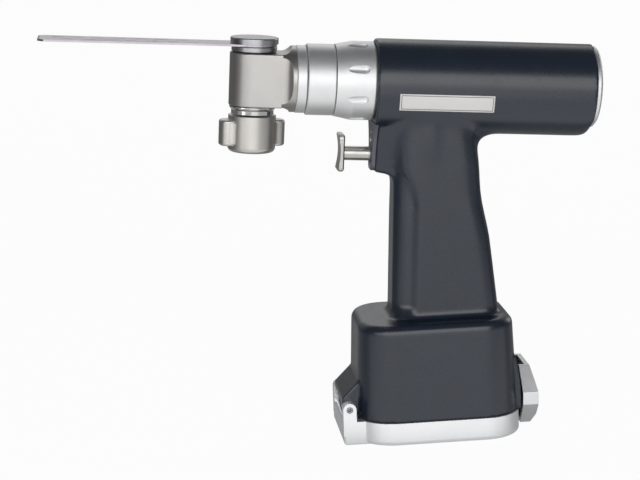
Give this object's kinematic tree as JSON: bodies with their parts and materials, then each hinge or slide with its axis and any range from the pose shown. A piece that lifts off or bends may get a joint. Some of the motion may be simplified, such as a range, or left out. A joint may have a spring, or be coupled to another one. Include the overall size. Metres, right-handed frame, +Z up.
{
  "type": "surgical oscillating saw",
  "caption": "Battery pistol-grip oscillating bone saw: barrel with swivel blade head, pull trigger, and a hinged lid under the battery grip.",
  "frame": {"origin": "centre of the lid's flat underside, on the plane of symmetry", "axes": "+Z up, -X towards the blade tip, Y across"},
  "size_m": [0.2775, 0.0646, 0.2099],
  "materials": {
    "housing_dark": "satin anodised dark housing",
    "bright_aluminium": "satin bright aluminium",
    "plate_grey": "satin grey anodised",
    "head_steel": "bead-blasted satin steel",
    "chrome": "polished",
    "clamp_steel": "dark satin steel",
    "blade_steel": "satin blade steel",
    "bearing_steel": "ground steel",
    "spring_steel": "spring wire",
    "seal_rubber": "matte black rubber",
    "motor_metal": "motor can",
    "board": "circuit board",
    "black_plastic": "moulded",
    "pack_plastic": "battery pack shell"
  },
  "bodies": {
    "root": {"handle_body": "housing_dark", "trigger_plate": "plate_grey", "plate_screws": "clamp_steel", "mode_plug": "bright_aluminium", "trigger_bush": "bright_aluminium", "trigger_switch": "black_plastic", "trigger_spring": "spring_steel", "rear_cap": "bright_aluminium", "rear_seal": "seal_rubber", "front_bearing": "bearing_steel", "motor_shell": "motor_metal", "motor_bearings": "bearing_steel", "control_board": "board", "coupling_sleeve": "bright_aluminium", "battery_pack": "pack_plastic", "contact_block": "black_plastic", "hinge_pin": "bearing_steel", "latch_pin": "bearing_steel"},
    "rotor": {"motor_rotor": "motor_metal", "drive_shaft": "bearing_steel", "eccentric_bearing": "bearing_steel"},
    "collar": {"lock_collar": "bright_aluminium"},
    "head": {"head_housing": "head_steel", "ring_one": "bright_aluminium", "upper_spindle_bearing": "bearing_steel", "lower_spindle_bearing": "bearing_steel"},
    "spindle": {"spindle": "clamp_steel", "blade": "blade_steel", "neck_ring": "chrome"},
    "clamp": {"clamp_cap": "clamp_steel"},
    "knob": {"wing_knob": "head_steel"},
    "trigger": {"trigger": "head_steel"},
    "lid": {"lid": "bright_aluminium", "lid_gasket": "seal_rubber"},
    "latch": {"latch": "bright_aluminium"}
  },
  "joints": [
    {"name": "motor_spin", "type": "hinge", "parent": "root", "child": "rotor", "pos_m": [-0.026, 0, 0.1805], "axis": [0.9973, 0, -0.0741], "continuous": true},
    {"name": "collar_turn", "type": "hinge", "parent": "root", "child": "collar", "pos_m": [-0.03597, 0, 0.18124], "axis": [0.9973, 0, -0.0741], "range_deg": [0, 30], "stiffness_Nm_per_rad": 0.05},
    {"name": "head_swivel", "type": "hinge", "parent": "root", "child": "head", "pos_m": [-0.05592, 0, 0.18272], "axis": [0.9973, 0, -0.0741], "range_deg": [-180, 180]},
    {"name": "spindle_swing", "type": "hinge", "parent": "head", "child": "spindle", "pos_m": [-0.08583, 0, 0.18495], "axis": [0.0741, 0, 0.9973], "range_deg": [-2.5, 2.5]},
    {"name": "knob_turn", "type": "hinge", "parent": "spindle", "child": "knob", "pos_m": [-0.08791, 0, 0.15702], "axis": [0.0741, 0, 0.9973], "range_deg": [0, 360]},
    {"name": "clamp_lift", "type": "slide", "parent": "spindle", "child": "clamp", "axis": [0.0741, 0, 0.9973], "range_m": [0, 0.003]},
    {"name": "trigger_pull", "type": "slide", "parent": "root", "child": "trigger", "axis": [0.9973, 0, -0.0741], "range_m": [0, 0.0065], "stiffness_N_per_m": 900, "springref_m": -0.004, "deforming": ["trigger_spring"]},
    {"name": "lid_hinge", "type": "hinge", "parent": "root", "child": "lid", "pos_m": [-0.046, 0, 0.018], "axis": [0, 1, 0], "range_deg": [0, 100]},
    {"name": "latch_rock", "type": "hinge", "parent": "root", "child": "latch", "pos_m": [0.0465, 0, 0.016], "axis": [0, -1, 0], "range_deg": [0, 5], "stiffness_Nm_per_rad": 0.4, "springref_deg": -2.86}
  ],
  "couplings": [
    {"joint": "knob_turn", "follows": "clamp_lift", "rad_per_m": 2094.4}
  ]
}
